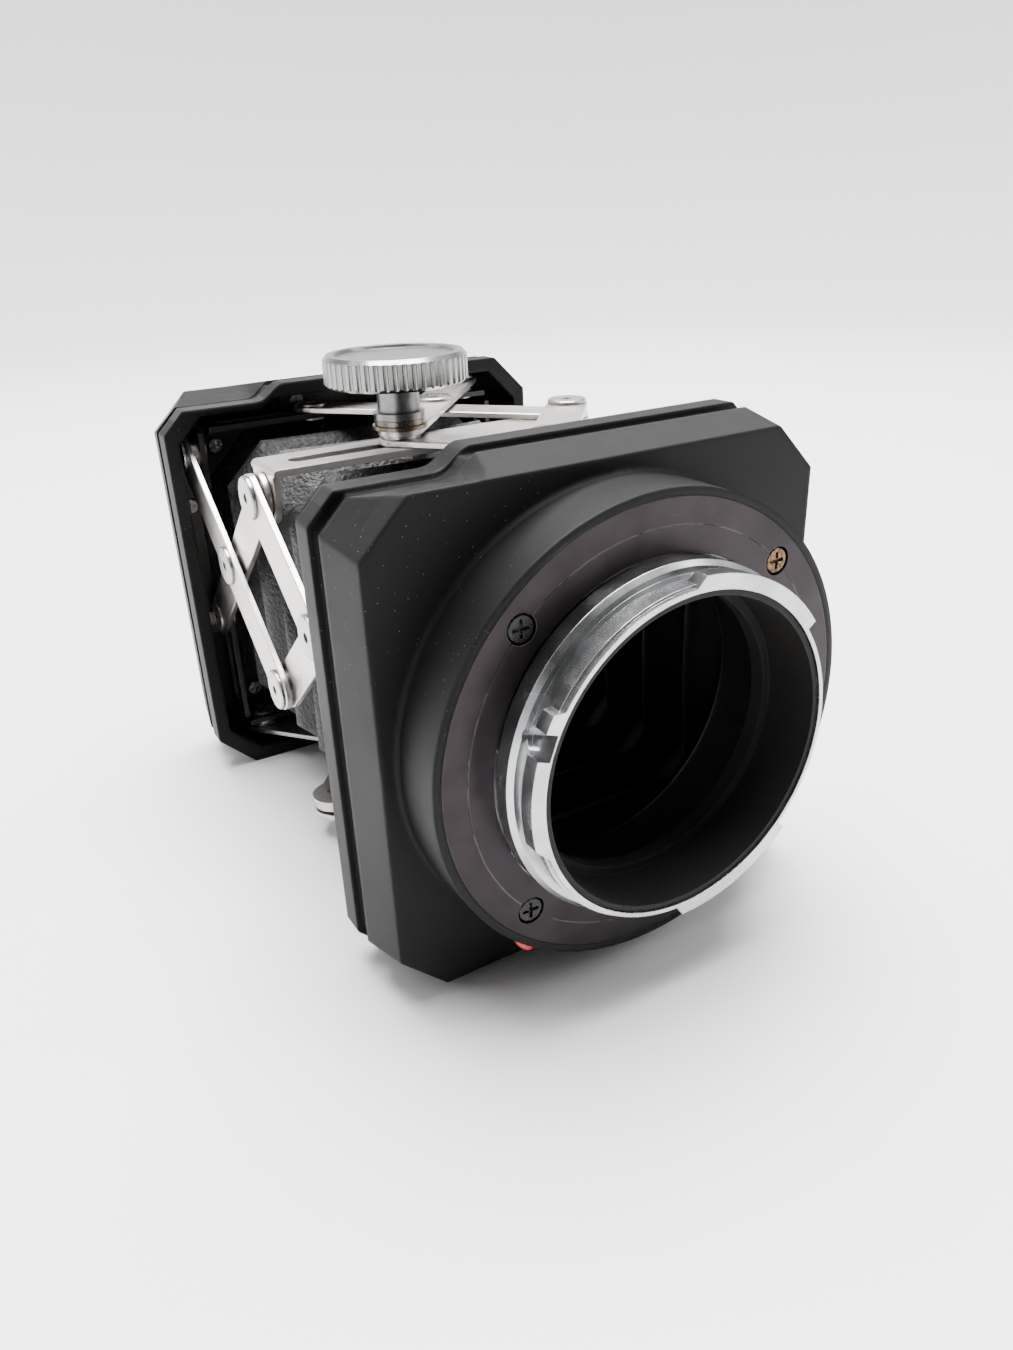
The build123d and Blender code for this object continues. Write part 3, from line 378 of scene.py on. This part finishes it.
def matt_black(name):
    """Matt black paint, a little greyer along its edges."""
    g = Graph(name)
    fine = g.noise(6.0, 4.0)
    cloud = g.noise(0.2, 3.0)
    color = g.mix(cloud, (0.0040, 0.0035, 0.0034, 1), (0.0085, 0.0074, 0.0070, 1))
    rubbed = g.edge_mask(0.2, 0.80, 0.98)
    color = g.mix(g.times(rubbed, 0.5), color, (0.030, 0.027, 0.026, 1))
    rough = g.remap(fine, 0.3, 0.7, 0.58, 0.72)
    normal = g.bump(fine, 0.25, 0.04, g.rounded(0.15))
    return g.set(color=color, rough=rough, specular=0.2, normal=normal)


def black_screws():
    """Blackened screws with painted highlights along their edges, of which the upper right one has
    worn down to its brass.
    """
    g = Graph("black_screw")
    fine = g.noise(5.0, 3.0)
    x, _, z = g.apart()
    right, high = BARE_SCREW
    bare = g.times(g.math("GREATER_THAN", x, right), g.math("GREATER_THAN", z, high))
    worn = g.times(bare, g.remap(g.noise(1.6, 4.0), 0.36, 0.60))
    # painted highlight: a lighter grey along the screws' edges
    painted_edge_highlight = g.times(g.edge_mask(0.12, 0.80, 0.97), 0.35)
    color = g.mix(painted_edge_highlight, (0.0018, 0.0018, 0.0018, 1), (0.030, 0.029, 0.028, 1))
    color = g.mix(g.times(bare, 0.8), color, (0.045, 0.025, 0.013, 1))
    color = g.mix(worn, color, (0.17, 0.098, 0.048, 1))
    metal = g.math("ADD", 0.1, g.times(bare, 0.8))
    rough = g.remap(fine, 0.3, 0.7, 0.22, 0.34)
    normal = g.bump(fine, 0.15, 0.03, g.rounded(0.1))
    return g.set(color=color, metal=metal, rough=rough, specular=0.35, normal=normal)


def index_red():
    """Glossy red enamel."""
    g = Graph("index_red")
    pool = g.noise(2.2, 3.0)
    color = g.mix(g.remap(pool, 0.3, 0.7), (0.50, 0.006, 0.006, 1), (0.64, 0.012, 0.010, 1))
    rough = g.remap(pool, 0.3, 0.7, 0.22, 0.36)
    normal = g.bump(pool, 0.3, 0.06, g.rounded(0.25))
    return g.set(color=color, rough=rough, coat=0.3, normal=normal)


def leatherette():
    """Coated bellows cloth: pebbled grain, dry scuffs on the ridges and a low sheen."""
    g = Graph("leatherette")
    inputs = {"Vector": g.place(), "Scale": 0.9, "Detail": 2.0}
    bend = g.node("ShaderNodeTexNoise", inputs).outputs["Color"]
    swirl = g.vector("SCALE", bend, 0.9).outputs[0]
    warped = g.vector("ADD", g.place(), swirl).outputs[0]
    inputs = {"Vector": warped, "Scale": 1.5, "Smoothness": 0.35}
    pebble = g.node("ShaderNodeTexVoronoi", inputs, feature="SMOOTH_F1").outputs["Distance"]
    crease = g.noise(0.9, 6.0, rough=0.65)
    fine = g.noise(12.0, 3.0)
    height = g.math("SUBTRACT", g.times(crease, 0.8), pebble)
    height = g.math("ADD", height, g.times(fine, 0.10))
    # how far out on its pleat a place is: the larger of its two distances to the axis
    x, _, z = g.apart()
    out = g.math("MAXIMUM", g.math("ABSOLUTE", x), g.gap(z, AXIS_MM))
    scuff = g.times(g.remap(out, *SCUFFED_RIDGE), g.remap(g.noise(1.5, 5.0), 0.36, 0.60))
    cloud = g.remap(g.noise(0.12, 3.0), 0.3, 0.7)
    color = g.mix(cloud, (0.0042, 0.0042, 0.0047, 1), (0.0100, 0.0098, 0.0107, 1))
    color = g.mix(g.times(scuff, 0.7), color, (0.085, 0.082, 0.086, 1))
    rough = g.remap(crease, 0.3, 0.7, 0.42, 0.60)
    normal = g.bump(height, 0.9, 0.25)
    return g.set(
        color=color, rough=rough, specular=0.30, sheen=0.05, sheen_rough=0.5, normal=normal
    )


def lining():
    """The dull black inside of the bellows."""
    g = Graph("bellows_lining")
    weave = g.noise(5.0, 4.0)
    color = g.mix(weave, (0.0022, 0.0022, 0.0023, 1), (0.0044, 0.0043, 0.0043, 1))
    rough = g.remap(weave, 0.3, 0.7, 0.72, 0.86)
    return g.set(color=color, rough=rough, specular=0.12, normal=g.bump(weave, 0.3, 0.05))


BRASS_STAIN = (0.03, 0.022, 0.015, 1)
materials = {
    "satin_black_paint": satin_paint(),
    "dark_anodised": anodised(),
    "chrome": turned_chrome(),
    "matt_black": matt_black("matt_black"),
    "black_screw": black_screws(),
    "steel_screw": plated("steel_screw", 0.20, 0.06, (0.22, 0.36), 0.35),
    "index_red": index_red(),
    "leatherette": leatherette(),
    "spring_steel": plated("spring_steel", 0.50, 0.02, (0.22, 0.34), 0.25),
    "release_black": matt_black("release_black"),
    "guide_steel": blackened(),
    "rivet_steel": rivets(),
    "strut_steel": brushed("strut_steel", 0.60, 0.055, (0.12, 0.12, 0.9)),
    "washer_brass": plated("washer_brass", 0.15, 0.20, (0.20, 0.34), 0.60, BRASS_STAIN),
}
looks = {"knob": knob_metal()}      # nodes whose look is not their slot's material

slot_of = {part["node"]: part["material_slot"] for part in frame["record"]["subparts"]}
for name, node in nodes.items():
    node.data.materials.clear()
    node.data.materials.append(looks.get(name, materials[slot_of[name]]))


# ---------------------------------------------------------------- mesh helpers
def join_rings(work, rings):
    """Quads between closed rings of vertices, each ring with the next."""
    for one, other in zip(rings, rings[1:]):
        for index in range(len(one)):
            after = (index + 1) % len(one)
            work.faces.new((one[index], one[after], other[after], other[index]))


def smooth_object(name, work):
    """A smooth object in the scene from a bmesh, which is freed."""
    mesh = bpy.data.meshes.new(name)
    work.to_mesh(mesh)
    work.free()
    for face in mesh.polygons:
        face.use_smooth = True
    made = bpy.data.objects.new(name, mesh)
    bpy.context.scene.collection.objects.link(made)
    return made


# ---------------------------------------------------------------- bellows
PLEATS = 8
RIDGE = 26.1 * MM                   # from the axis to the sides of a ridge and of a valley
VALLEY = 22.0 * MM
RIDGE_CUT = 7.2 * MM                # how much of their corners is cut away
VALLEY_CUT = 2.6 * MM
TURN_SHARE = 0.10                   # of half a pleat, rounded at each ridge and valley
STEPS = 10                          # rings to a pleat
SIDE_POINTS = 18
CUT_POINTS = 4
SKIN = 0.6 * MM
RIDGE_SLACK = (-0.22, 0.22)         # mm that all sides of a ridge bulge
SIDE_SLACK = (-0.30, 0.12)          # mm that one side bulges on its own
LEAN = (-0.5, 0.5)                  # mm that the middle of a side leans along the axis
DISH = 0.35 * MM                    # how far the slopes of the pleats sink in

front_frame, back_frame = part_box("camera_bellows_frame"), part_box("lens_bellows_frame")
bellows_front, bellows_back = front_frame[1].y, back_frame[0].y
bellows_length = bellows_back - bellows_front


def outline(half, cut):
    """One ring as (x, z) points round the axis: four sides and four corner cuts."""
    points = []
    reach = half - cut
    for quarter in range(4):
        turn = Matrix.Rotation(-math.pi / 2 * quarter, 2)
        for step in range(SIDE_POINTS):
            points.append(turn @ Vector((-reach + 2 * reach * step / SIDE_POINTS, half)))
        for step in range(CUT_POINTS):
            share = step / CUT_POINTS
            points.append(turn @ Vector((reach + cut * share, half - cut * share)))
    return points


def pleat_height(phase):
    """1 on a ridge and 0 in a valley, straight between them with the turns rounded."""
    wave = abs((phase % 1.0) * 2 - 1)
    if wave > 1 - TURN_SHARE:
        return 1 - TURN_SHARE / 2 - (1 - wave) ** 2 / (2 * TURN_SHARE)
    if wave < TURN_SHARE:
        return TURN_SHARE / 2 + wave ** 2 / (2 * TURN_SHARE)
    return wave


def build_bellows():
    """The pleated tube between the two frames, with a little slack in its sides."""
    work = bmesh.new()
    chance = random.Random(7)
    rings = []
    count = PLEATS * STEPS
    ridge_slack = [chance.uniform(*RIDGE_SLACK) * MM for _ in range(PLEATS + 1)]
    side_slack = [[chance.uniform(*SIDE_SLACK) * MM for _ in range(4)] for _ in range(PLEATS + 1)]
    lean = [[chance.uniform(*LEAN) * MM for _ in range(4)] for _ in range(2 * PLEATS + 1)]
    for ring in range(count + 1):
        phase = ring / STEPS
        height = pleat_height(phase)
        half = VALLEY + (RIDGE - VALLEY) * height
        cut = VALLEY_CUT + (RIDGE_CUT - VALLEY_CUT) * height
        y = bellows_front + bellows_length * ring / count
        near = round(phase)
        slope = round(2 * phase)
        free = min(1.0, 2 * min(ring, count - ring) / STEPS)  # 0 at the frames, which clamp it
        row = []
        for index, (x, z) in enumerate(outline(half, cut)):
            quarter, step = divmod(index, SIDE_POINTS + CUT_POINTS)
            belly = math.sin(math.pi * min(step / SIDE_POINTS, 1.0))
            bulge = belly * (ridge_slack[near] + side_slack[near][quarter]) * height * free
            dish = -DISH * belly * math.sin(math.pi * height) * free
            shift = Vector((x, z)).normalized() * (bulge + dish)
            sway = lean[slope][quarter] * belly * free
            row.append(work.verts.new((x + shift.x, y + sway, z + shift.y + AXIS_HEIGHT)))
        rings.append(row)
    join_rings(work, rings)
    bmesh.ops.recalc_face_normals(work, faces=work.faces)
    piece = smooth_object("bellows_cloth", work)
    skin = piece.modifiers.new("skin", "SOLIDIFY")
    skin.thickness = SKIN
    skin.offset = -1
    skin.material_offset = 1        # the inner side takes the second material
    piece.data.materials.append(materials["leatherette"])
    piece.data.materials.append(lining())
    return piece


bellows = build_bellows()
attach(bellows, "camera_standard")
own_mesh(bellows)
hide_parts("bellows")

# ---------------------------------------------------------------- release spring
SPRING_LENGTH = 3.56 * MM
SPRING_RADIUS = 0.5 * MM
WIRE_RADIUS = 0.13 * MM
SPRING_TURNS = 5
TURN_STEPS = 20
WIRE_SIDES = 8
outwards = Vector((1, 0, -1)).normalized()


def build_release_spring():
    """The coil between the release slider, which moves, and the post in its channel."""
    low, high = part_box("lens_release_spring")
    middle = (low + high) / 2
    side = Vector((0, 1, 0))
    other = outwards.cross(side)
    work = bmesh.new()
    steps = SPRING_TURNS * TURN_STEPS
    rings = []
    for step in range(steps + 1):
        turn = 2 * math.pi * step / TURN_STEPS
        radial = side * math.cos(turn) + other * math.sin(turn)
        centre = middle + outwards * SPRING_LENGTH * (step / steps - 0.5) + radial * SPRING_RADIUS
        ring = []
        for corner in range(WIRE_SIDES):
            angle = 2 * math.pi * corner / WIRE_SIDES
            across = radial * math.cos(angle) + outwards * math.sin(angle)
            ring.append(work.verts.new(centre + WIRE_RADIUS * across))
        rings.append(ring)
    join_rings(work, rings)
    for end in (rings[0], rings[-1]):
        work.faces.new(end)
    bmesh.ops.recalc_face_normals(work, faces=work.faces)
    coil = smooth_object("release_coil", work)
    coil.data.materials.append(materials["spring_steel"])
    return coil, middle + outwards * (SPRING_LENGTH / 2 + WIRE_RADIUS)


release_coil, post_end = build_release_spring()
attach(release_coil, "lens_standard")
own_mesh(release_coil)
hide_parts("lens_release_spring")

# ---------------------------------------------------------------- floor and backdrop
FLOOR_RADIUS = 0.80
INNER_RADIUS = 0.3
COVE_RADIUS = 0.45
COVE_STEPS = 14
WALL_TOP = 1.5
VIEW_AZIMUTH = -30.13               # degrees; 0 faces the bayonet, below 0 is from the left
WALL_CENTRE = -VIEW_AZIMUTH - 60    # 60 degrees left of straight behind the object
WALL_HALF = 100                     # half the angle of the wall behind


def sweep_material(name, color):
    """Seamless paper with a faint cloud in its tone."""
    g = Graph(name)
    shaded = tuple(c * 0.985 for c in color[:3]) + (1,)
    tone = g.mix(g.noise(0.01, 2.0), color, shaded)
    return g.set(color=tone, rough=0.55, specular=0.25)


def revolve(name, profile, start, end, steps):
    """A surface of revolution about the vertical axis; profile lists (radius, height)."""
    work = bmesh.new()
    columns = []
    for step in range(steps + 1):
        angle = math.radians(start + (end - start) * step / steps)
        east, north = math.sin(angle), math.cos(angle)
        columns.append([work.verts.new((r * east, r * north, h)) for r, h in profile])
    for one, other in zip(columns, columns[1:]):
        for low in range(len(profile) - 1):
            work.faces.new((one[low], other[low], other[low + 1], one[low + 1]))
    bmesh.ops.remove_doubles(work, verts=work.verts, dist=1e-6)
    surface = smooth_object(name, work)
    return surface


cove = [
    (FLOOR_RADIUS + COVE_RADIUS * math.sin(a), COVE_RADIUS * (1 - math.cos(a)))
    for a in (math.pi / 2 * i / COVE_STEPS for i in range(COVE_STEPS + 1))
]
wall_profile = cove + [(FLOOR_RADIUS + COVE_RADIUS, WALL_TOP)]
white = sweep_material("sweep_white", (0.80, 0.80, 0.80, 1))
cool_white = sweep_material("sweep_cool_white", (0.812, 0.818, 0.828, 1))
floor = revolve("floor", [(0.0, 0.0), (INNER_RADIUS, 0.0), (FLOOR_RADIUS, 0.0)], 0, 360, 72)
floor.data.materials.append(white)
wall_start, wall_end = WALL_CENTRE - WALL_HALF, WALL_CENTRE + WALL_HALF
behind = revolve("backdrop_behind", wall_profile, wall_start, wall_end, 48)
around = revolve("backdrop_around", wall_profile, wall_end, wall_start + 360, 40)
for wall in (behind, around):
    wall.data.materials.append(cool_white)
    wall.visible_shadow = False
    wall.visible_diffuse = False
around.visible_glossy = False

# ---------------------------------------------------------------- light
ROOM_DIRECTION = (-0.66, -0.70, 0.27)
LIGHT_TARGET = Vector((0, 0, 0.03))

# the world is brighter overhead, and darker in the room in front of the sweep
sky = Graph("studio", "worlds")
bpy.context.scene.world = sky.owner
direction = sky.node("ShaderNodeTexCoord").outputs["Generated"]
height = sky.node("ShaderNodeSeparateXYZ", {0: direction}).outputs["Z"]
tones = sky.mix(sky.remap(height, -0.1, 0.8), (0.42, 0.42, 0.43, 1), (1.0, 1.0, 1.0, 1))
facing = sky.vector("DOT_PRODUCT", direction, ROOM_DIRECTION).outputs["Value"]
shade = sky.remap(facing, 0.05, 0.9, smooth=True)
sky.link(sky.mix(shade, tones, (0.05, 0.05, 0.048, 1)), sky.shader.inputs["Color"])
sky.link(1.38, sky.shader.inputs["Strength"])


def softbox(name, place, size, power):
    """A rectangular lamp that faces the object."""
    light = bpy.data.lights.new(name, "AREA")
    light.shape = "RECTANGLE"
    light.size, light.size_y = size
    light.energy = power
    lamp = bpy.data.objects.new(name, light)
    bpy.context.scene.collection.objects.link(lamp)
    lamp.location = place
    lamp.rotation_mode = "QUATERNION"
    lamp.rotation_quaternion = (LIGHT_TARGET - Vector(place)).to_track_quat("-Z", "Y")


softbox("overhead", (0.10, 0.17, 0.95), (0.80, 0.80), 57)
softbox("left_window", (-0.80, 0.40, 0.75), (0.5, 0.7), 4)
softbox("right_fill", (0.75, -0.45, 0.55), (0.35, 0.5), 3)

# ---------------------------------------------------------------- camera
ELEVATION = 25.13
ROLL = -2.42
DISTANCE = 131.14 * MM
SHIFT_RIGHT = -13.80 * MM
SHIFT_UP = 5.00 * MM
FOCAL = 26.32                       # mm
SENSOR = 36.0                       # mm along the picture's longer side
CLIP_START = 0.005

azimuth, elevation = math.radians(VIEW_AZIMUTH), math.radians(ELEVATION)
level = math.cos(elevation)
back = Vector((math.sin(azimuth) * level, -math.cos(azimuth) * level, math.sin(elevation)))
right = Vector((math.cos(azimuth), math.sin(azimuth), 0))
up = back.cross(right)
roll = math.radians(ROLL)
right_rolled = math.cos(roll) * right + math.sin(roll) * up
up_rolled = -math.sin(roll) * right + math.cos(roll) * up
axes = Matrix((right_rolled, up_rolled, back)).transposed().to_4x4()
bayonet_side = Vector((0, CAMERA_FACE, AXIS_HEIGHT))
place = bayonet_side + back * DISTANCE + right * SHIFT_RIGHT + up * SHIFT_UP
lens = bpy.data.cameras.new("camera")
lens.sensor_width = SENSOR
lens.lens = FOCAL
lens.clip_start = CLIP_START
camera = bpy.data.objects.new("camera", lens)
bpy.context.scene.collection.objects.link(camera)
camera.matrix_world = Matrix.Translation(place) @ axes
bpy.context.scene.camera = camera
